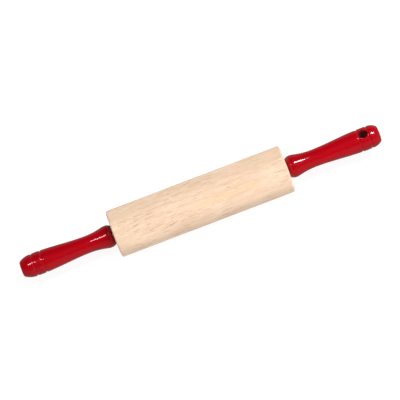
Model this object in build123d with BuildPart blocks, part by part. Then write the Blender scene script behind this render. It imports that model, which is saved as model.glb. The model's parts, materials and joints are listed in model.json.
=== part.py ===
from build123d import *
from math import asin, cos, degrees, radians, sin
import os

# Rolling pin with a free-turning wooden barrel.  The pin lies along X, the
# centre of the barrel is the origin and +Z is up.  All sizes in millimetres.

# Barrel
BARREL_RADIUS = 26.3
BARREL_HALF_LENGTH = 99.4
BARREL_EDGE_RADIUS = 2.2
BARREL_BORE_RADIUS = 5.6

# Steel rod that joins the two handles
ROD_RADIUS = 3.175
ROD_THREAD_RADIUS = 3.0
ROD_HALF_LENGTH = 138.0
ROD_TIP_CHAMFER = 0.6

# Handle outline, measured from the axis and from the middle of the pin
HANDLE_START = 100.1
HANDLE_END = 205.5
FLARE_X = 106.1
FLARE_RADIUS = 12.4
FLARE_NOSE_ARC = 9.6
FLARE_BACK_ARC = 20.0
NECK_X = 129.7
NECK_RADIUS = 9.5
PALM_RADIUS = 12.4
PALM_SLOPE = 0.03
GROOVE_HALF_WIDTH = 1.4
GROOVE_DEPTH = 0.85
BAND_CROWN = 0.15
HANDLE_FACE_ROUND = 0.8
HANDLE_END_ROUND = 1.2

# Grooves and end curve of each handle; the two were turned a little differently
LEFT_GROOVES = (180.8, 191.1)
LEFT_KNOB_ARC = 21.5
RIGHT_GROOVES = (182.6, 193.8)
RIGHT_KNOB_ARC = 14.5

# Hanging hole through the right handle, between its grooves
HOLE_X = 188.2
HOLE_RADIUS = 4.9
HOLE_EDGE_ROUND = 0.4

# Threaded insert in each handle
INSERT_RADIUS = 5.0
INSERT_LENGTH = 22.0
INSERT_COLLAR_RADIUS = 6.5
INSERT_COLLAR_LENGTH = 1.6
INSERT_RIB_COUNT = 5
INSERT_RIB_DEPTH = 0.35
INSERT_RIB_HALF_WIDTH = 0.8
HANDLE_BORE_RADIUS = 3.4
HANDLE_BORE_END = 141.0

# Ball bearing at each end of the barrel
CUP_RADIUS = 10.0
CUP_WIDTH = 7.0
CUP_SHOULDER_RADIUS = 8.1
CUP_RECESS = 1.2
CONE_SHOULDER_RADIUS = 5.3
PITCH_RADIUS = 6.8
BALL_RADIUS = 2.0
BALL_COUNT = 8
RACE_GAP = 0.08
CAGE_INNER_RADIUS = 5.9
CAGE_OUTER_RADIUS = 7.6
CAGE_WIDTH = 5.4
POCKET_RADIUS = 2.1
SHIELD_OUTER_RADIUS = 9.2
SHIELD_INNER_RADIUS = 5.7
SHIELD_THICKNESS = 0.5
SHIELD_SEAT_DEPTH = 0.7
SHIELD_LIP = 0.4

# Spacer washer and retaining clip
WASHER_RADIUS = 8.0
WASHER_EDGE_ROUND = 0.3
CLIP_RADIUS = 4.6
CLIP_THICKNESS = 0.8
CLIP_GROOVE_RADIUS = 2.7
CLIP_OPENING = 3.0

# How far a cutting profile runs past the surface that it cuts
CUT_OVERRUN = 0.01

# Places along the rod, worked out from the sizes above
CUP_FRONT = BARREL_HALF_LENGTH - CUP_RECESS
CUP_BACK = CUP_FRONT - CUP_WIDTH
BALL_X = CUP_FRONT - SHIELD_SEAT_DEPTH - (CUP_WIDTH - SHIELD_SEAT_DEPTH) / 2
CONE_BACK = CUP_BACK
CLIP_BACK = CONE_BACK - CLIP_THICKNESS

os.makedirs("parts", exist_ok=True)


def end_plane(side):
    """Plane whose X runs outward along the rod, to +X or -X, and whose Y is radius."""
    return Plane(origin=(0, 0, 0), x_dir=(side, 0, 0), z_dir=(0, 0, side))


def save(part, label):
    part.label = label
    export_step(part, "parts/" + label + ".step")


# Wooden barrel: rounded arrises, through bore and a counterbore for each cup.
with BuildPart() as barrel:
    with BuildSketch(Plane.YZ.offset(-BARREL_HALF_LENGTH)):
        Circle(BARREL_RADIUS)
    extrude(amount=2 * BARREL_HALF_LENGTH)
    fillet(barrel.edges().filter_by(GeomType.CIRCLE), radius=BARREL_EDGE_RADIUS)
    with BuildSketch(Plane.YZ.offset(-BARREL_HALF_LENGTH)):
        Circle(BARREL_BORE_RADIUS)
    extrude(amount=2 * BARREL_HALF_LENGTH, mode=Mode.SUBTRACT)
    with BuildSketch(Plane.YZ.offset(CUP_BACK)):
        Circle(CUP_RADIUS)
    extrude(amount=BARREL_HALF_LENGTH - CUP_BACK, mode=Mode.SUBTRACT)
    with BuildSketch(Plane.YZ.offset(-BARREL_HALF_LENGTH)):
        Circle(CUP_RADIUS)
    extrude(amount=BARREL_HALF_LENGTH - CUP_BACK, mode=Mode.SUBTRACT)
save(barrel.part, "barrel")


# Steel rod: threaded length at each end, clip grooves, chamfered tips.
with BuildPart() as axle_rod:
    with BuildSketch(Plane.YZ.offset(-HANDLE_START)):
        Circle(ROD_RADIUS)
    extrude(amount=2 * HANDLE_START)
    with BuildSketch(Plane.YZ.offset(-ROD_HALF_LENGTH)):
        Circle(ROD_THREAD_RADIUS)
    extrude(amount=2 * ROD_HALF_LENGTH)
    tips = axle_rod.edges().group_by(Axis.X)
    chamfer(tips[0] + tips[-1], length=ROD_TIP_CHAMFER)
    for side in (1, -1):
        with BuildSketch(end_plane(side)):
            with Locations((CLIP_BACK + CLIP_THICKNESS / 2, (CLIP_GROOVE_RADIUS + ROD_RADIUS) / 2)):
                Rectangle(CLIP_THICKNESS, ROD_RADIUS - CLIP_GROOVE_RADIUS + 2 * CUT_OVERRUN)
        revolve(axis=Axis.X, mode=Mode.SUBTRACT)
save(axle_rod.part, "axle_rod")


def handle_outline(grooves, knob_arc):
    """Half outline of a handle, in a plane of distance along the rod and radius."""
    flare_drop = FLARE_RADIUS - NECK_RADIUS
    flare_run = NECK_X - FLARE_X
    arc_sum = (flare_run**2 + flare_drop**2) / (2 * flare_drop)
    neck_arc = arc_sum - FLARE_BACK_ARC
    turn = degrees(asin(flare_run / arc_sum))
    face_drop = FLARE_NOSE_ARC - (FLARE_NOSE_ARC**2 - (FLARE_X - HANDLE_START) ** 2) ** 0.5
    palm_end = (grooves[0] - GROOVE_HALF_WIDTH, PALM_RADIUS)
    band_start = (grooves[0] + GROOVE_HALF_WIDTH, PALM_RADIUS)
    band_top = ((grooves[0] + grooves[1]) / 2, PALM_RADIUS + BAND_CROWN)
    band_end = (grooves[1] - GROOVE_HALF_WIDTH, PALM_RADIUS)
    knob_start = (grooves[1] + GROOVE_HALF_WIDTH, PALM_RADIUS)
    knob_run = HANDLE_END - knob_start[0]
    knob_drop = knob_arc - (knob_arc**2 - knob_run**2) ** 0.5
    Line((HANDLE_START, 0), (HANDLE_START, FLARE_RADIUS - face_drop))
    RadiusArc((HANDLE_START, FLARE_RADIUS - face_drop), (FLARE_X, FLARE_RADIUS), FLARE_NOSE_ARC)
    back = JernArc((FLARE_X, FLARE_RADIUS), (1, 0), FLARE_BACK_ARC, -turn)
    JernArc(back @ 1, back % 1, neck_arc, turn)
    Spline((NECK_X, NECK_RADIUS), palm_end, tangents=[(1, 0), (1, PALM_SLOPE)])
    Line(palm_end, (grooves[0], PALM_RADIUS - GROOVE_DEPTH))
    Line((grooves[0], PALM_RADIUS - GROOVE_DEPTH), band_start)
    ThreePointArc(band_start, band_top, band_end)
    Line(band_end, (grooves[1], PALM_RADIUS - GROOVE_DEPTH))
    Line((grooves[1], PALM_RADIUS - GROOVE_DEPTH), knob_start)
    RadiusArc(knob_start, (HANDLE_END, PALM_RADIUS - knob_drop), knob_arc)
    Line((HANDLE_END, PALM_RADIUS - knob_drop), (HANDLE_END, 0))
    Line((HANDLE_END, 0), (HANDLE_START, 0))


def turned_handle(side, grooves, knob_arc, has_hole):
    """Turned wooden handle with a stepped blind bore for the insert and the rod tip."""
    with BuildPart() as handle:
        with BuildSketch(end_plane(side)):
            with BuildLine():
                handle_outline(grooves, knob_arc)
            make_face()
        revolve(axis=Axis.X)
        rims = handle.edges().filter_by(GeomType.CIRCLE).sort_by(Axis.X)
        face_rim, end_rim = (rims[0], rims[-1]) if side > 0 else (rims[-1], rims[0])
        fillet(face_rim, radius=HANDLE_FACE_ROUND)
        fillet(end_rim, radius=HANDLE_END_ROUND)
        for radius, depth in (
            (INSERT_COLLAR_RADIUS, INSERT_COLLAR_LENGTH),
            (INSERT_RADIUS, INSERT_LENGTH),
            (HANDLE_BORE_RADIUS, HANDLE_BORE_END - HANDLE_START),
        ):
            with BuildSketch(Plane.YZ.offset(side * HANDLE_START)):
                Circle(radius)
            extrude(amount=side * depth, mode=Mode.SUBTRACT)
        if has_hole:
            before = handle.edges()
            with BuildSketch(Plane.XY):
                with Locations((side * HOLE_X, 0)):
                    Circle(HOLE_RADIUS)
            extrude(amount=2 * FLARE_RADIUS, both=True, mode=Mode.SUBTRACT)
            mouths = [edge for edge in handle.edges() - before if abs(edge.center().Z) > HOLE_RADIUS]
            fillet(mouths, radius=HOLE_EDGE_ROUND)
    return handle.part


def handle_insert(side):
    """Brass insert with a collar, barbed body and threaded bore."""
    with BuildPart() as insert:
        with BuildSketch(Plane.YZ.offset(side * HANDLE_START)):
            Circle(INSERT_RADIUS)
            Circle(ROD_THREAD_RADIUS, mode=Mode.SUBTRACT)
        extrude(amount=side * INSERT_LENGTH)
        with BuildSketch(Plane.YZ.offset(side * HANDLE_START)):
            Circle(INSERT_COLLAR_RADIUS)
            Circle(ROD_THREAD_RADIUS, mode=Mode.SUBTRACT)
        extrude(amount=side * INSERT_COLLAR_LENGTH)
        pitch = (INSERT_LENGTH - INSERT_COLLAR_LENGTH) / (INSERT_RIB_COUNT + 1)
        for rib in range(1, INSERT_RIB_COUNT + 1):
            rib_x = HANDLE_START + INSERT_COLLAR_LENGTH + rib * pitch
            with BuildSketch(end_plane(side)):
                with BuildLine():
                    Polyline(
                        (rib_x - INSERT_RIB_HALF_WIDTH, INSERT_RADIUS + CUT_OVERRUN),
                        (rib_x + INSERT_RIB_HALF_WIDTH, INSERT_RADIUS + CUT_OVERRUN),
                        (rib_x, INSERT_RADIUS - INSERT_RIB_DEPTH),
                        close=True,
                    )
                make_face()
            revolve(axis=Axis.X, mode=Mode.SUBTRACT)
    return insert.part


def spacer_washer(side):
    """Nylon washer between the inner race and the handle."""
    with BuildPart() as washer:
        with BuildSketch(Plane.YZ.offset(side * BARREL_HALF_LENGTH)):
            Circle(WASHER_RADIUS)
            Circle(ROD_RADIUS, mode=Mode.SUBTRACT)
        extrude(amount=side * (HANDLE_START - BARREL_HALF_LENGTH))
        rims = washer.edges().filter_by(GeomType.CIRCLE).sort_by(SortBy.RADIUS)
        fillet(rims[-2:], radius=WASHER_EDGE_ROUND)
    return washer.part


def bearing_cup(side):
    """Outer race: ring with a ball groove and a seat for the shield."""
    with BuildPart() as cup:
        with BuildSketch(Plane.YZ.offset(side * CUP_BACK)):
            Circle(CUP_RADIUS)
            Circle(CUP_SHOULDER_RADIUS, mode=Mode.SUBTRACT)
        extrude(amount=side * CUP_WIDTH)
        with BuildSketch(Plane.YZ.offset(side * (CUP_FRONT - SHIELD_SEAT_DEPTH))):
            Circle(SHIELD_OUTER_RADIUS)
        extrude(amount=side * SHIELD_SEAT_DEPTH, mode=Mode.SUBTRACT)
        with BuildSketch(end_plane(side)):
            with Locations((BALL_X, PITCH_RADIUS)):
                Circle(BALL_RADIUS + RACE_GAP)
        revolve(axis=Axis.X, mode=Mode.SUBTRACT)
    return cup.part


def bearing_cone(side):
    """Inner race: sleeve on the rod with a ball groove."""
    with BuildPart() as cone:
        with BuildSketch(Plane.YZ.offset(side * CONE_BACK)):
            Circle(CONE_SHOULDER_RADIUS)
            Circle(ROD_RADIUS, mode=Mode.SUBTRACT)
        extrude(amount=side * (BARREL_HALF_LENGTH - CONE_BACK))
        with BuildSketch(end_plane(side)):
            with Locations((BALL_X, PITCH_RADIUS)):
                Circle(BALL_RADIUS + RACE_GAP)
        revolve(axis=Axis.X, mode=Mode.SUBTRACT)
    return cone.part


def ball_places(side):
    """One place on the pitch circle for each ball, its Z axis pointing outward."""
    return [
        Plane(
            origin=(
                side * BALL_X,
                PITCH_RADIUS * cos(radians(360 / BALL_COUNT * ball)),
                PITCH_RADIUS * sin(radians(360 / BALL_COUNT * ball)),
            ),
            x_dir=(1, 0, 0),
            z_dir=(0, cos(radians(360 / BALL_COUNT * ball)), sin(radians(360 / BALL_COUNT * ball))),
        )
        for ball in range(BALL_COUNT)
    ]


def ball_cage(side):
    """Ring that keeps the balls apart, one round pocket for each."""
    with BuildPart() as cage:
        with BuildSketch(Plane.YZ.offset(side * BALL_X)):
            Circle(CAGE_OUTER_RADIUS)
            Circle(CAGE_INNER_RADIUS, mode=Mode.SUBTRACT)
        extrude(amount=CAGE_WIDTH / 2, both=True)
        for place in ball_places(side):
            with BuildSketch(place):
                Circle(POCKET_RADIUS)
            extrude(amount=2 * BALL_RADIUS, both=True, mode=Mode.SUBTRACT)
    return cage.part


def bearing_balls(side):
    """The ring of balls, as a group of separate solids."""
    with BuildPart() as balls:
        with Locations(*ball_places(side)):
            Sphere(BALL_RADIUS)
    return balls.part


def bearing_shield(side):
    """Pressed dust cover in the mouth of the cup, with a turned-in lip."""
    seat = CUP_FRONT - SHIELD_SEAT_DEPTH
    with BuildPart() as shield:
        with BuildSketch(Plane.YZ.offset(side * seat)):
            Circle(SHIELD_OUTER_RADIUS)
            Circle(SHIELD_INNER_RADIUS, mode=Mode.SUBTRACT)
        extrude(amount=side * SHIELD_THICKNESS)
        with BuildSketch(Plane.YZ.offset(side * (seat + SHIELD_THICKNESS))):
            Circle(SHIELD_INNER_RADIUS + SHIELD_THICKNESS)
            Circle(SHIELD_INNER_RADIUS, mode=Mode.SUBTRACT)
        extrude(amount=side * SHIELD_LIP)
    return shield.part


def retaining_clip(side):
    """Open spring ring in the rod groove, behind the inner race."""
    with BuildPart() as clip:
        with BuildSketch(Plane.YZ.offset(side * CLIP_BACK)):
            Circle(CLIP_RADIUS)
            Circle(CLIP_GROOVE_RADIUS, mode=Mode.SUBTRACT)
            with Locations((0, CLIP_RADIUS)):
                Rectangle(CLIP_OPENING, 2 * CLIP_RADIUS, mode=Mode.SUBTRACT)
        extrude(amount=side * CLIP_THICKNESS)
    return clip.part


save(turned_handle(-1, LEFT_GROOVES, LEFT_KNOB_ARC, has_hole=False), "left_handle")
save(turned_handle(1, RIGHT_GROOVES, RIGHT_KNOB_ARC, has_hole=True), "right_handle")

# Pieces that come in a left and a right copy
for name, side in (("left", -1), ("right", 1)):
    save(handle_insert(side), name + "_handle_insert")
    save(spacer_washer(side), name + "_spacer_washer")
    save(bearing_cup(side), name + "_bearing_cup")
    save(bearing_cone(side), name + "_bearing_cone")
    save(ball_cage(side), name + "_ball_cage")
    save(bearing_balls(side), name + "_bearing_balls")
    save(bearing_shield(side), name + "_bearing_shield")
    save(retaining_clip(side), name + "_retaining_clip")
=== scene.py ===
import json
from math import cos, pi, radians, sin, sqrt, tan

import bmesh
import bpy
from mathutils import Matrix, Vector


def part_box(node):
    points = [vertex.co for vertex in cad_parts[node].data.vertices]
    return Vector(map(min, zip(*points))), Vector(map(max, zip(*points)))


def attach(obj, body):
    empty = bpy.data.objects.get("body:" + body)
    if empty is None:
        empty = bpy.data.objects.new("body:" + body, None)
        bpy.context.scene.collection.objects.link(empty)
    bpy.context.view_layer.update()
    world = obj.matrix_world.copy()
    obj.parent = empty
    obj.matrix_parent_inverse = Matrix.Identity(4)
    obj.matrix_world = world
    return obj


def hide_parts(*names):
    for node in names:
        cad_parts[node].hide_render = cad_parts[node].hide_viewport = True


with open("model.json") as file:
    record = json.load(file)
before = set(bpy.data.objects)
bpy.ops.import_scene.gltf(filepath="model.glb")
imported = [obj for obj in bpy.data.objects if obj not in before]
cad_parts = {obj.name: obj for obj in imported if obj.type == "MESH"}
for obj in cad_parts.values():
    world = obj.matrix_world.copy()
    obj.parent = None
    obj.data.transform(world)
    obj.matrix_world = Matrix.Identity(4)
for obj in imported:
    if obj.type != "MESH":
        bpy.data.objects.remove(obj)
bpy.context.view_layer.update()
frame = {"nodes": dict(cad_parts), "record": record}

# ---------------------------------------------------------------- sizes from the frame
MM = 0.001
BARREL_LOW, BARREL_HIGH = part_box("barrel")
BARREL_HALF = BARREL_HIGH.x
BARREL_R = BARREL_HIGH.y
CUP_LOW, CUP_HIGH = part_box("right_bearing_cup")
CUP_BACK = CUP_LOW.x
CUP_R = CUP_HIGH.y
HANDLE_LOW, HANDLE_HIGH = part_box("right_handle")
HANDLE_START = HANDLE_LOW.x
HANDLE_END = HANDLE_HIGH.x
INSERT_LOW, INSERT_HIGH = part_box("right_handle_insert")
INSERT_END = INSERT_HIGH.x
MOUNTS = {mount["name"]: mount for mount in frame["record"]["mounts"]}
HOLE_X = MOUNTS["hanging_hole"]["pos_m"][0]
HOLE_R = MOUNTS["hanging_hole"]["dims"]["r_mm"] * MM

# ---------------------------------------------------------------- sizes of the looks
# Barrel
BARREL_ARRIS = 2.2 * MM
BARREL_BORE_R = 5.6 * MM
CUP_MOUTH_CHAMFER = 0.3 * MM

# Handle outline, measured along the axis from the middle of the pin
FLARE_X = 106.1 * MM
FLARE_R = 12.4 * MM
FLARE_NOSE_ARC = 9.6 * MM
FLARE_BACK_ARC = 20.0 * MM
NECK_X = 129.7 * MM
NECK_R = 9.5 * MM
PALM_R = 12.4 * MM
PALM_SLOPE = 0.03
BAND_CROWN = 0.15 * MM
FACE_ROUND = 0.8 * MM
END_ROUND = 1.4 * MM
RIGHT_SHAPE = {"grooves": (182.6 * MM, 193.8 * MM), "knob_arc": 14.5 * MM}
LEFT_SHAPE = {"grooves": (180.8 * MM, 191.1 * MM), "knob_arc": 21.5 * MM}

# V grooves, worn soft at the bottom and at the shoulders
GROOVE_HALF = 1.4 * MM
GROOVE_DEPTH = 0.85 * MM
GROOVE_BOTTOM_SOFT = 0.105 * MM
GROOVE_SHOULDER_SOFT = 0.12 * MM

# Rounded lip of the hanging hole, and how far its cutter clears the handle
HOLE_LIP = 0.9 * MM
CUTTER_FLARE = 1.5
CUTTER_LIFT = 1.2 * MM
CUTTER_TOP = PALM_R + 4.0 * MM

# Blind bore of a handle
INSERT_BORE_R = 5.0 * MM
COLLAR_R = 6.5 * MM
COLLAR_DEPTH = 1.6 * MM
ROD_BORE_R = 3.4 * MM
ROD_BORE_END = 141.0 * MM

# Fineness of the meshes
HANDLE_TURNS = 160
BARREL_TURNS = 192
HOLE_TURNS = 96
ARRIS_STEPS = 10
SIDE_STEPS = 20
CORNER_STEPS = 6
LIP_STEPS = 7
END_RINGS = 8
FINE_STEP = 0.2 * MM
COARSE_STEP = 0.9 * MM
FINE_BEFORE_GROOVE = 2.0 * MM
SHORTEST_STEP = 0.1 * MM


# ---------------------------------------------------------------- mesh helpers
def new_mesh(name, points, faces):
    """Smooth-shaded piece made from points and faces."""
    mesh = bpy.data.meshes.new(name)
    mesh.from_pydata(points, [], faces)
    mesh.validate()
    mesh.update()
    mesh.polygons.foreach_set("use_smooth", [True] * len(mesh.polygons))
    piece = bpy.data.objects.new(name, mesh)
    bpy.context.scene.collection.objects.link(piece)
    return piece


def lathe(name, outline, turns):
    """Turns a closed outline of (x, radius) points about the X axis. A radius of 0 is a pole."""
    points, rings, faces = [], [], []
    for x, r in outline:
        if r < 1e-7:
            rings.append([len(points)] * turns)
            points.append((x, 0, 0))
            continue
        rings.append(list(range(len(points), len(points) + turns)))
        for k in range(turns):
            angle = 2 * pi * k / turns
            points.append((x, r * cos(angle), r * sin(angle)))
    for a, b in zip(rings, rings[1:]):
        for k in range(turns):
            n = (k + 1) % turns
            corners = [a[k], a[n], b[n], b[k]]
            face = [v for i, v in enumerate(corners) if v not in corners[:i]]
            if len(face) > 2:
                faces.append(face)
    return new_mesh(name, points, faces)


def arc(cx, cy, r, start, end, steps):
    """Points on an arc, angles in degrees, both ends included."""
    angles = [radians(start + (end - start) * i / steps) for i in range(steps + 1)]
    return [(cx + r * cos(a), cy + r * sin(a)) for a in angles]


def curve(a, b, c, steps):
    """Points of a quadratic curve from a to c, drawn towards b."""
    places = [i / steps for i in range(steps + 1)]
    return [a * (1 - t) ** 2 + b * 2 * t * (1 - t) + c * t**2 for t in places]


def rounded_corner(corner, before, after, size):
    """Rounding of a corner between two points of an outline."""
    c = Vector(corner)
    a = c + (Vector(before) - c).normalized() * size
    b = c + (Vector(after) - c).normalized() * size
    return [tuple(point) for point in curve(a, c, b, CORNER_STEPS)]


def mirrored(outline):
    """The same outline at the other end of the pin."""
    return [(-x, r) for x, r in reversed(outline)]


def outward(piece):
    """Makes every face point out."""
    work = bmesh.new()
    work.from_mesh(piece.data)
    bmesh.ops.recalc_face_normals(work, faces=work.faces)
    work.to_mesh(piece.data)
    work.free()


def cut(piece, cutter):
    """Takes the cutter out of the piece, and the cutter out of the scene."""
    modifier = piece.modifiers.new("hole", "BOOLEAN")
    modifier.object = cutter
    modifier.operation = "DIFFERENCE"
    modifier.solver = "EXACT"
    bpy.context.view_layer.update()
    graph = bpy.context.evaluated_depsgraph_get()
    mesh = bpy.data.meshes.new_from_object(piece.evaluated_get(graph))
    piece.modifiers.clear()
    piece.data = mesh
    bpy.data.objects.remove(cutter)


# ---------------------------------------------------------------- barrel
def barrel_outline():
    """Closed outline of the barrel: bore, cup seats, end faces, rounded arrises and side."""
    arris_x = BARREL_HALF - BARREL_ARRIS
    half = [
        (CUP_BACK, BARREL_BORE_R),
        (CUP_BACK, CUP_R),
        (BARREL_HALF - CUP_MOUTH_CHAMFER, CUP_R),
        (BARREL_HALF, CUP_R + CUP_MOUTH_CHAMFER),
    ]
    half += arc(arris_x, BARREL_R - BARREL_ARRIS, BARREL_ARRIS, 0, 90, ARRIS_STEPS)
    half += [(arris_x * (1 - i / SIDE_STEPS), BARREL_R) for i in range(1, SIDE_STEPS)]
    middle_of_bore = [(0, BARREL_BORE_R)]
    middle_of_side = [(0, BARREL_R)]
    return middle_of_bore + half + middle_of_side + mirrored(half) + middle_of_bore


# ---------------------------------------------------------------- handles
def palm_radius(x, palm_end):
    """Cubic from the neck to the palm end, level at the neck and rising slightly at its end."""
    run = palm_end - NECK_X
    u = (x - NECK_X) / run
    from_neck = NECK_R * (2 * u**3 - 3 * u**2 + 1)
    to_palm = PALM_R * (3 * u**2 - 2 * u**3)
    return from_neck + to_palm + PALM_SLOPE * run * (u**3 - u**2)


def flare_back_radius(x):
    """Two tangent arcs from the flare's crest down to the neck."""
    drop = FLARE_R - NECK_R
    run = NECK_X - FLARE_X
    both = (run**2 + drop**2) / (2 * drop)
    neck_arc = both - FLARE_BACK_ARC
    join = FLARE_X + FLARE_BACK_ARC * run / both
    if x < join:
        return FLARE_R - FLARE_BACK_ARC + sqrt(FLARE_BACK_ARC**2 - (x - FLARE_X) ** 2)
    return NECK_R + neck_arc - sqrt(neck_arc**2 - (NECK_X - x) ** 2)


def groove_depth(x, grooves):
    """Depth of the V grooves at x, with a soft bottom and soft shoulders."""
    soft = GROOVE_SHOULDER_SOFT
    depth = 0.0
    for centre in grooves:
        away = sqrt((x - centre) ** 2 + GROOVE_BOTTOM_SOFT**2)
        flank = GROOVE_DEPTH * (1 - away / GROOVE_HALF)
        depth += (flank + sqrt(flank**2 + soft**2)) / 2
        depth -= soft**2 / (2 * (abs(flank) + 4 * soft))
    return max(depth, 0.0)


def plain_radius(x, shape):
    """Handle radius without its grooves."""
    first, last = shape["grooves"]
    knob_arc = shape["knob_arc"]
    knob_start = last + GROOVE_HALF
    if x < FLARE_X:
        return FLARE_R - FLARE_NOSE_ARC + sqrt(FLARE_NOSE_ARC**2 - (FLARE_X - x) ** 2)
    if x < NECK_X:
        return flare_back_radius(x)
    if x < first - GROOVE_HALF:
        return palm_radius(x, first - GROOVE_HALF)
    if x < knob_start:
        from_middle = (x - (first + last) / 2) / ((last - first) / 2)
        return PALM_R + BAND_CROWN * max(0.0, 1 - from_middle**2)
    return PALM_R - knob_arc + sqrt(knob_arc**2 - (x - knob_start) ** 2)


def handle_radius(x, shape):
    """Handle radius with its grooves."""
    return plain_radius(x, shape) - groove_depth(x, shape["grooves"])


def handle_side(shape, start, stop):
    """Outside of a handle between two places, in fine steps from just before the grooves on."""
    fine_from = shape["grooves"][0] - FINE_BEFORE_GROOVE
    side = []
    x = start + COARSE_STEP
    while x <= stop - SHORTEST_STEP:
        side.append((x, handle_radius(x, shape)))
        x += FINE_STEP if x > fine_from else COARSE_STEP
    return side


def handle_outline(shape):
    """Closed outline of a handle: blind bore, inner face, outside, end face."""

    def on_side(x):
        return x, plain_radius(x, shape)

    bore = [
        (ROD_BORE_END, 0),
        (ROD_BORE_END, ROD_BORE_R),
        (INSERT_END, ROD_BORE_R),
        (INSERT_END, INSERT_BORE_R),
        (HANDLE_START + COLLAR_DEPTH, INSERT_BORE_R),
        (HANDLE_START + COLLAR_DEPTH, COLLAR_R),
        (HANDLE_START, COLLAR_R),
    ]
    beside_face = on_side(HANDLE_START + 1 * MM)
    face = rounded_corner(on_side(HANDLE_START), (HANDLE_START, 0), beside_face, FACE_ROUND)
    beside_end = on_side(HANDLE_END - 1 * MM)
    end = rounded_corner(on_side(HANDLE_END), beside_end, (HANDLE_END, 0), END_ROUND)
    side = handle_side(shape, face[-1][0], end[0][0])
    end_face = [(HANDLE_END, end[-1][1] * (1 - i / END_RINGS)) for i in range(1, END_RINGS + 1)]
    return bore + face + side + end + end_face


# ---------------------------------------------------------------- hanging hole
def on_handle(radius, angle):
    """Place on top of the right handle, that far from the axis of the hole."""
    x = HOLE_X + radius * cos(angle)
    y = radius * sin(angle)
    return Vector((x, y, sqrt(max(handle_radius(x, RIGHT_SHAPE), y) ** 2 - y * y)))


def hole_mouth(angle):
    """One line up the hole's wall, over its rounded lip and clear of the handle."""
    edge = on_handle(HOLE_R, angle)
    outer = on_handle(HOLE_R + HOLE_LIP, angle)
    low = edge - Vector((0, 0, HOLE_LIP))
    over = outer + (outer - edge) * CUTTER_FLARE + Vector((0, 0, CUTTER_LIFT))
    return curve(low, edge, outer, LIP_STEPS) + [over, Vector((over.x, over.y, CUTTER_TOP))]


def lip_cutter():
    """Closed trumpet that cuts the hanging hole and rounds both of its mouths."""
    columns = [hole_mouth(2 * pi * k / HOLE_TURNS) for k in range(HOLE_TURNS)]
    upper = [[tuple(place) for place in level] for level in zip(*columns)]
    lower = [[(x, y, -z) for x, y, z in level] for level in reversed(upper)]
    levels = lower + upper
    points = [place for level in levels for place in level]
    faces = []
    for base in range(0, (len(levels) - 1) * HOLE_TURNS, HOLE_TURNS):
        for k in range(HOLE_TURNS):
            n = (k + 1) % HOLE_TURNS
            faces.append([base + k, base + n, base + HOLE_TURNS + n, base + HOLE_TURNS + k])
    faces.append(list(reversed(range(HOLE_TURNS))))
    faces.append(list(range(len(points) - HOLE_TURNS, len(points))))
    return new_mesh("lip_cutter", points, faces)


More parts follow.
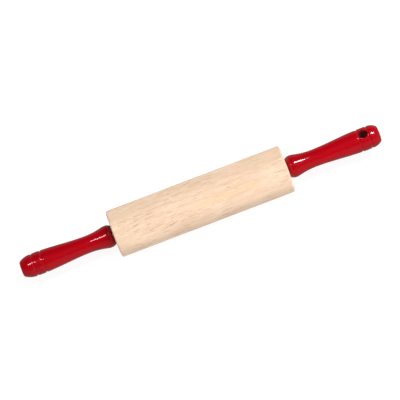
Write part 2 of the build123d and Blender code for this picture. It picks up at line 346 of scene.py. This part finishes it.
# ---------------------------------------------------------------- node helpers
class Nodes:
    """A short way to write a node material, in metres on the piece's own coordinates."""

    def __init__(self, name):
        self.material = bpy.data.materials.new(name)
        self.material.use_nodes = True
        self.tree = self.material.node_tree
        self.tree.nodes.clear()
        out = self.add("ShaderNodeOutputMaterial")
        self.shader = self.add("ShaderNodeBsdfPrincipled")
        self.link(self.shader.outputs[0], out.inputs[0])
        self.where = self.add("ShaderNodeTexCoord").outputs["Object"]

    def add(self, kind, **settings):
        node = self.tree.nodes.new(kind)
        for key, value in settings.items():
            setattr(node, key, value)
        return node

    def link(self, source, target):
        self.tree.links.new(source, target)

    def put(self, target, value):
        """Links a socket to the target, or sets a plain value on it."""
        if isinstance(value, bpy.types.NodeSocket):
            self.link(value, target)
        else:
            target.default_value = value

    def math(self, operation, a, b=0.0):
        node = self.add("ShaderNodeMath", operation=operation)
        self.put(node.inputs[0], a)
        self.put(node.inputs[1], b)
        return node.outputs[0]

    def plus(self, a, b):
        return self.math("ADD", a, b)

    def minus(self, a, b):
        return self.math("SUBTRACT", a, b)

    def times(self, a, b):
        return self.math("MULTIPLY", a, b)

    def distance(self, a, b):
        """Length of the vector whose two parts are a and b."""
        return self.math("SQRT", self.plus(self.times(a, a), self.times(b, b)))

    def stretch(self, scale, offset=(0, 0, 0)):
        """The piece's coordinates, scaled and then moved."""
        node = self.add("ShaderNodeMapping")
        self.link(self.where, node.inputs["Vector"])
        node.inputs["Scale"].default_value = scale
        node.inputs["Location"].default_value = offset
        return node.outputs[0]

    def scaled(self, vector, scale):
        node = self.add("ShaderNodeVectorMath", operation="MULTIPLY")
        self.link(vector, node.inputs[0])
        node.inputs[1].default_value = scale
        return node.outputs[0]

    def split(self, vector):
        node = self.add("ShaderNodeSeparateXYZ")
        self.link(vector, node.inputs[0])
        return node.outputs

    def join(self, x, y, z):
        node = self.add("ShaderNodeCombineXYZ")
        for socket, value in zip(node.inputs, (x, y, z)):
            self.put(socket, value)
        return node.outputs[0]

    def noise(self, vector, detail=2.0, roughness=0.5, distortion=0.0):
        node = self.add("ShaderNodeTexNoise")
        self.link(vector, node.inputs["Vector"])
        node.inputs["Scale"].default_value = 1.0
        node.inputs["Detail"].default_value = detail
        node.inputs["Roughness"].default_value = roughness
        node.inputs["Distortion"].default_value = distortion
        return node.outputs["Fac"]

    def spread(self, value, low, high, out_low=0.0, out_high=1.0):
        """Smooth step from out_low at low to out_high at high."""
        node = self.add("ShaderNodeMapRange", interpolation_type="SMOOTHSTEP")
        self.link(value, node.inputs["Value"])
        node.inputs["From Min"].default_value = low
        node.inputs["From Max"].default_value = high
        node.inputs["To Min"].default_value = out_low
        node.inputs["To Max"].default_value = out_high
        return node.outputs["Result"]

    def mix(self, factor, a, b):
        """Colour between a and b; the mix node's colour sockets are inputs 6 and 7, output 2."""
        node = self.add("ShaderNodeMix", data_type="RGBA")
        self.put(node.inputs[0], factor)
        self.put(node.inputs[6], a if isinstance(a, bpy.types.NodeSocket) else (*a, 1.0))
        self.put(node.inputs[7], b if isinstance(b, bpy.types.NodeSocket) else (*b, 1.0))
        return node.outputs[2]

    def bump(self, height, distance, strength=1.0, normal=None):
        node = self.add("ShaderNodeBump")
        node.inputs["Strength"].default_value = strength
        node.inputs["Distance"].default_value = distance
        self.link(height, node.inputs["Height"])
        if normal is not None:
            self.link(normal, node.inputs["Normal"])
        return node.outputs[0]

    def shade(self, **sockets):
        """Links or sets sockets of the shader, named with _ for a space."""
        for key, value in sockets.items():
            self.put(self.shader.inputs[key.replace("_", " ")], value)


# ---------------------------------------------------------------- barrel wood
WOOD_LIGHT = (0.705, 0.540, 0.405)
WOOD_DEEP = (0.622, 0.456, 0.323)
WOOD_LATE = (0.525, 0.352, 0.230)
WOOD_DASH = (0.455, 0.285, 0.180)
WOOD_FLECK = (0.820, 0.665, 0.520)
WOOD_PORE = (0.330, 0.205, 0.125)
WOOD_STREAK = (0.640, 0.480, 0.255)
WOOD_SHEEN = (1.0, 0.80, 0.62, 1.0)

# Marks per metre along and across the grain
CLOUD_GRAIN = (22, 70, 70)
DASH_GRAIN = (75, 880, 880)
FLECK_GRAIN = (110, 900, 900)
PORE_GRAIN = (300, 2300, 2300)
FIBRE_GRAIN = (40, 1300, 1300)
DRIFT_GRAIN = (9, 22, 22)
WANDER_GRAIN = (5, 26, 26)
PATCH_GRAIN = (30, 30, 30)

# The log's rings: their centre lies outside the barrel
PITH_Y = -60.0 * MM
PITH_Z = 41.0 * MM
RING_SPACING = 5.8 * MM
RING_WANDER = 14.0 * MM
GRAIN_LEAN = 12.0 * MM

# Warm streak on the top front of the barrel, right of the middle
STREAK_X = 34.0 * MM
STREAK_Y = -15.2 * MM
STREAK_Z = 20.5 * MM
STREAK_HALF_LENGTH = 46.0 * MM
STREAK_FULL_HALF_LENGTH = 20.0 * MM
STREAK_HALF_WIDTH = 6.5 * MM
STREAK_FULL_HALF_WIDTH = 2.0 * MM
STREAK_WANDER = 4.0 * MM
FIBRE_HEIGHT = 0.06 * MM


def ring_lines(m, y, z):
    """Late wood of the year rings, 0 to 1."""
    from_pith = m.distance(m.minus(y, PITH_Y), m.minus(z, PITH_Z))
    wander = m.noise(m.stretch(WANDER_GRAIN, (3, 1, 2)), 3.0)
    ring = m.plus(from_pith, m.times(wander, RING_WANDER))
    return m.spread(m.math("SINE", m.times(ring, 2 * pi / RING_SPACING)), 0.0, 1.0)


def warm_streak(m, x, y, z, drift, cloud):
    """Strength of the streak: full in the middle, broken up by the clouding."""
    off_streak = m.distance(m.minus(y, STREAK_Y), m.minus(z, STREAK_Z))
    off_streak = m.plus(off_streak, m.times(drift, STREAK_WANDER))
    across = m.spread(off_streak, STREAK_HALF_WIDTH, STREAK_FULL_HALF_WIDTH)
    from_middle = m.math("ABSOLUTE", m.minus(x, STREAK_X))
    along = m.spread(from_middle, STREAK_HALF_LENGTH, STREAK_FULL_HALF_LENGTH)
    return m.times(m.times(across, along), m.spread(cloud, 0.35, 0.6, 0.35, 0.7))


def pale_wood():
    """Bare close-grained hardwood: faint rings, clouding, dashes, pores and a warm streak."""
    m = Nodes("barrel_wood")
    x, y, z = m.split(m.where)
    drift = m.noise(m.stretch(DRIFT_GRAIN, (1, 5, 2)))
    lean = m.times(m.minus(drift, 0.5), GRAIN_LEAN)
    bent = m.join(x, m.plus(y, lean), m.plus(z, lean))

    cloud = m.noise(m.scaled(bent, CLOUD_GRAIN), 3.0, 0.55)
    dash = m.noise(m.scaled(bent, DASH_GRAIN), 2.0, 0.6, 0.3)
    fleck = m.noise(m.scaled(bent, FLECK_GRAIN), 1.0, 0.5, 0.3)
    pore = m.noise(m.scaled(bent, PORE_GRAIN), 2.0, 0.55)
    fibre = m.noise(m.scaled(bent, FIBRE_GRAIN), 3.0, 0.6)
    patch = m.noise(m.stretch(PATCH_GRAIN, (7, 7, 7)))

    colour = m.mix(m.spread(cloud, 0.28, 0.72), WOOD_DEEP, WOOD_LIGHT)
    colour = m.mix(m.times(ring_lines(m, y, z), 0.16), colour, WOOD_LATE)
    colour = m.mix(m.spread(fibre, 0.45, 0.75, 0.0, 0.16), colour, WOOD_LATE)
    dashes = m.times(m.spread(dash, 0.54, 0.66, 0.0, 0.80), m.spread(patch, 0.40, 0.62, 0.25, 1.0))
    colour = m.mix(dashes, colour, WOOD_DASH)
    colour = m.mix(m.spread(fleck, 0.40, 0.26, 0.0, 0.55), colour, WOOD_FLECK)
    colour = m.mix(m.spread(pore, 0.62, 0.72, 0.0, 0.45), colour, WOOD_PORE)
    colour = m.mix(warm_streak(m, x, y, z, drift, cloud), colour, WOOD_STREAK)

    height = m.minus(fibre, m.times(m.spread(pore, 0.60, 0.72), 0.8))
    m.shade(Base_Color=colour, Roughness=m.spread(fibre, 0.3, 0.8, 0.50, 0.66))
    m.shade(Normal=m.bump(height, FIBRE_HEIGHT, 0.55))
    m.shade(Specular_IOR_Level=0.2, Diffuse_Roughness=0.45)
    m.shade(Sheen_Weight=0.08, Sheen_Tint=WOOD_SHEEN)
    return m.material


# ---------------------------------------------------------------- handle enamel
ENAMEL_DEEP = (0.285, 0.0001, 0.0035)
ENAMEL_LIGHT = (0.33, 0.0002, 0.0045)
ENAMEL_GRAIN = (0.20, 0.0001, 0.003)
# Painted shade down the hanging hole: a dark colour standing in for its unlit depth
HOLE_PAINTED_SHADE = (0.110, 0.020, 0.018)
FLOW_HEIGHT = 0.18 * MM
GRAIN_HEIGHT = 0.04 * MM

# Marks per metre along and across the handle
UNDER_GRAIN = (30, 500, 500)
FILM_FLOW = (60, 110, 110)
TINT_CLOUD = (18, 50, 50)

# Where the enamel gives way to the hole's bare wall and its painted shade: across the lip, then
# down the hole
LIP_TOP_R = HOLE_R + 0.25 * HOLE_LIP
LIP_FOOT_R = HOLE_R + 0.02 * MM
WALL_TOP = 10.0 * MM
WALL_FULL = 6.5 * MM


def hole_wall_and_shade(m):
    """1 on the wall deep in the hanging hole, 0 on the enamel; it takes the coat off there and
    mixes in painted shade.
    """
    x, y, z = m.split(m.where)
    reach = m.distance(m.minus(x, HOLE_X), y)
    depth = m.spread(m.math("ABSOLUTE", z), WALL_TOP, WALL_FULL)
    return m.times(m.spread(reach, LIP_TOP_R, LIP_FOOT_R), depth)


def red_enamel():
    """Gloss enamel over turned wood: thick film, faint grain under it, and an uncoated wall in the
    hole that is darkened with painted shade.
    """
    m = Nodes("handle_enamel")
    grain = m.noise(m.stretch(UNDER_GRAIN), 3.0, 0.6)
    flow = m.noise(m.stretch(FILM_FLOW, (4, 4, 1)))
    cloud = m.noise(m.stretch(TINT_CLOUD, (9, 2, 1)))
    inside = hole_wall_and_shade(m)

    colour = m.mix(m.spread(cloud, 0.3, 0.7), ENAMEL_DEEP, ENAMEL_LIGHT)
    colour = m.mix(m.spread(grain, 0.55, 0.8, 0.0, 0.25), colour, ENAMEL_GRAIN)
    # Painted shade: the hole's wall turns dark with depth
    colour = m.mix(inside, colour, HOLE_PAINTED_SHADE)
    rough = m.spread(grain, 0.3, 0.8, 0.22, 0.34)
    m.shade(Base_Color=colour, Roughness=m.math("MAXIMUM", rough, m.times(inside, 0.85)))
    m.shade(Normal=m.bump(grain, GRAIN_HEIGHT, 0.35, m.bump(flow, FLOW_HEIGHT, 0.35)))
    m.shade(Coat_Weight=m.minus(1.0, m.times(inside, 0.95)))
    m.shade(Coat_Normal=m.bump(flow, FLOW_HEIGHT, 0.18))
    m.shade(Coat_Roughness=0.05, Coat_IOR=1.45, Specular_IOR_Level=0.05)
    return m.material


# ---------------------------------------------------------------- inner materials
LATHE_LINES = 1400
LATHE_DEPTH = 0.004 * MM
POLISH_LINES = 300
POLISH_DEPTH = 0.0005 * MM
NYLON_BLOOM = 0.006 * MM


def metal(name, low, high, roughness, lines=LATHE_LINES, depth=LATHE_DEPTH):
    """Metal with fine lathe lines along X and a little clouding."""
    m = Nodes(name)
    line = m.noise(m.stretch((lines, 6, 6)), 3.0, 0.6)
    cloud = m.noise(m.stretch((160, 160, 160), (2, 7, 3)), 3.0)
    m.shade(Base_Color=m.mix(m.spread(cloud, 0.3, 0.7), low, high))
    m.shade(Roughness=m.spread(line, 0.25, 0.75, roughness * 0.8, roughness * 1.3))
    m.shade(Normal=m.bump(line, depth, 0.6), Metallic=1.0)
    return m.material


def nylon(name, low, high):
    """Milky moulded nylon with a fine bloom."""
    m = Nodes(name)
    grain = m.noise(m.stretch((2600, 2600, 2600)))
    cloud = m.noise(m.stretch((120, 120, 120), (3, 3, 5)))
    m.shade(Base_Color=m.mix(m.spread(cloud, 0.3, 0.7), low, high))
    m.shade(Roughness=m.spread(grain, 0.3, 0.7, 0.38, 0.52))
    m.shade(Normal=m.bump(grain, NYLON_BLOOM, 0.5))
    m.shade(Subsurface_Weight=0.1, Subsurface_Scale=0.6 * MM)
    return m.material


def light_table():
    """Softly glowing white floor."""
    m = Nodes("light_table")
    grain = m.noise(m.stretch((40, 40, 40)))
    m.shade(Base_Color=m.mix(m.spread(grain, 0.3, 0.7), (0.13, 0.13, 0.13), (0.15, 0.15, 0.15)))
    m.shade(Roughness=0.9, Emission_Color=(1, 1, 1, 1), Emission_Strength=0.90)
    return m.material


def inner_materials():
    """One material for each slot inside the pin."""
    return {
        "rod_steel": metal("rod_steel", (0.50, 0.50, 0.51), (0.60, 0.60, 0.61), 0.28),
        "insert_brass": metal("insert_brass", (0.60, 0.42, 0.15), (0.70, 0.50, 0.20), 0.30),
        "race_steel": metal("race_steel", (0.44, 0.44, 0.46), (0.54, 0.54, 0.56), 0.22),
        "ball_steel": metal(
            "ball_steel", (0.66, 0.66, 0.68), (0.72, 0.72, 0.74), 0.06, POLISH_LINES, POLISH_DEPTH
        ),
        "shield_steel": metal("shield_steel", (0.50, 0.51, 0.52), (0.60, 0.61, 0.62), 0.34),
        "clip_steel": metal("clip_steel", (0.10, 0.10, 0.11), (0.15, 0.15, 0.16), 0.45),
        "washer_nylon": nylon("washer_nylon", (0.76, 0.74, 0.68), (0.82, 0.80, 0.75)),
        "cage_nylon": nylon("cage_nylon", (0.62, 0.58, 0.48), (0.70, 0.66, 0.56)),
    }


def paint(piece, material):
    """Gives the piece this one material."""
    piece.data.materials.clear()
    piece.data.materials.append(material)


# ---------------------------------------------------------------- build
WOOD = pale_wood()
ENAMEL = red_enamel()
INNER = inner_materials()

barrel = lathe("barrel_roller", barrel_outline(), BARREL_TURNS)
outward(barrel)
paint(barrel, WOOD)
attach(barrel, "barrel_body")
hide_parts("barrel")

right = lathe("right_handle_turned", handle_outline(RIGHT_SHAPE), HANDLE_TURNS)
outward(right)
cutter = lip_cutter()
outward(cutter)
cut(right, cutter)
left = lathe("left_handle_turned", mirrored(handle_outline(LEFT_SHAPE)), HANDLE_TURNS)
outward(left)
for side, handle in (("right", right), ("left", left)):
    paint(handle, ENAMEL)
    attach(handle, "rod_and_handles")
    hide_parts(side + "_handle")

for part in frame["record"]["subparts"]:
    if part["material_slot"] in INNER:
        paint(frame["nodes"][part["node"]], INNER[part["material_slot"]])


# ---------------------------------------------------------------- studio
CAMERA_LIFT = radians(61.0)
CAMERA_ROLL = radians(20.87)
CAMERA_LENS = 200.0
CAMERA_SENSOR = 36.0
FRAME_ACROSS = 0.4300
AIM_UP = 1.5 * MM
AIM_LEFT = 0.45 * MM
FLOOR_HALF = 6.0
FLOOR_GAP = 0.2 * MM

# Strength of the surroundings at the horizon, and from this height of the sky up
TENT_LOW = 0.24
TENT_HIGH = 0.02
TENT_HIGH_FROM = 0.70


def view_axes():
    """Directions that point at the camera, up and to the right of it, before it is rolled."""
    back = Vector((0, -cos(CAMERA_LIFT), sin(CAMERA_LIFT)))
    above = Vector((0, sin(CAMERA_LIFT), cos(CAMERA_LIFT)))
    return back, above, Vector((1, 0, 0))


def aimed(position, across, up, back):
    """Matrix of a lamp or camera at a position, with its own X, Y and Z directions."""
    return Matrix.Translation(position) @ Matrix((across, up, back)).transposed().to_4x4()


def floor():
    """Wide flat floor just under the barrel, left out of what the gloss mirrors."""
    low = BARREL_LOW.z - FLOOR_GAP
    corners = [(-1, -1), (1, -1), (1, 1), (-1, 1)]
    points = [(FLOOR_HALF * x, FLOOR_HALF * y, low) for x, y in corners]
    piece = new_mesh("floor", points, [[0, 1, 2, 3]])
    paint(piece, light_table())
    piece.visible_glossy = False


def softbox(name, across, lift, distance, width, height, power, glossy=True):
    """Area light that many degrees across and above the line to the camera, facing the object."""
    back, above, side = view_axes()
    data = bpy.data.lights.new(name, "AREA")
    data.shape = "RECTANGLE"
    data.size = width
    data.size_y = height
    data.energy = power
    lamp = bpy.data.objects.new(name, data)
    bpy.context.scene.collection.objects.link(lamp)
    away = (back + side * tan(radians(across)) + above * tan(radians(lift))).normalized()
    wide = (side - away * side.dot(away)).normalized()
    lamp.matrix_world = aimed(away * distance, wide, away.cross(wide), away)
    lamp.visible_glossy = glossy


def camera():
    """Long lens above the front of the pin, rolled so that its right end points up."""
    data = bpy.data.cameras.new("camera")
    data.lens = CAMERA_LENS
    data.sensor_width = CAMERA_SENSOR
    data.clip_start = 0.05
    data.clip_end = 50.0
    eye = bpy.data.objects.new("camera", data)
    bpy.context.scene.collection.objects.link(eye)
    back, above, side = view_axes()
    right_hand = side * cos(CAMERA_ROLL) - above * sin(CAMERA_ROLL)
    up = above * cos(CAMERA_ROLL) + side * sin(CAMERA_ROLL)
    aim = up * AIM_UP - right_hand * AIM_LEFT
    distance = FRAME_ACROSS * CAMERA_LENS / CAMERA_SENSOR
    eye.matrix_world = aimed(aim + back * distance, right_hand, up, back)
    bpy.context.scene.camera = eye


def surroundings():
    """Pale tent: bright near the floor, dim overhead."""
    world = bpy.data.worlds.new("studio")
    bpy.context.scene.world = world
    world.use_nodes = True
    nodes, links = world.node_tree.nodes, world.node_tree.links
    backdrop = nodes["Background"]
    backdrop.inputs["Color"].default_value = (1, 1, 1, 1)
    where = nodes.new("ShaderNodeTexCoord")
    split = nodes.new("ShaderNodeSeparateXYZ")
    fade = nodes.new("ShaderNodeMapRange")
    fade.interpolation_type = "SMOOTHSTEP"
    fade.inputs["From Min"].default_value = 0.0
    fade.inputs["From Max"].default_value = TENT_HIGH_FROM
    fade.inputs["To Min"].default_value = TENT_LOW
    fade.inputs["To Max"].default_value = TENT_HIGH
    links.new(where.outputs["Generated"], split.inputs[0])
    links.new(split.outputs["Z"], fade.inputs["Value"])
    links.new(fade.outputs["Result"], backdrop.inputs["Strength"])


def lights():
    """Three lights that the gloss mirrors, then broad fills that it doesn't."""
    softbox("key_right", 34, 30, 2.0, 0.80, 0.36, 38.0)
    softbox("tail_right", 17, 29, 2.0, 0.16, 0.20, 0.6)
    softbox("strip_left", -24, 23, 2.0, 0.66, 0.22, 10.0)
    softbox("fill_front", 18, 2, 2.6, 2.4, 1.6, 26.0, glossy=False)
    softbox("fill_below", 25, -48, 2.4, 2.4, 1.2, 28.0, glossy=False)
    softbox("fill_left", -60, -5, 2.4, 1.4, 1.4, 2.0, glossy=False)


def studio():
    """Camera, surroundings and lights."""
    bpy.context.scene.view_settings.view_transform = "Standard"
    camera()
    surroundings()
    lights()


floor()
studio()
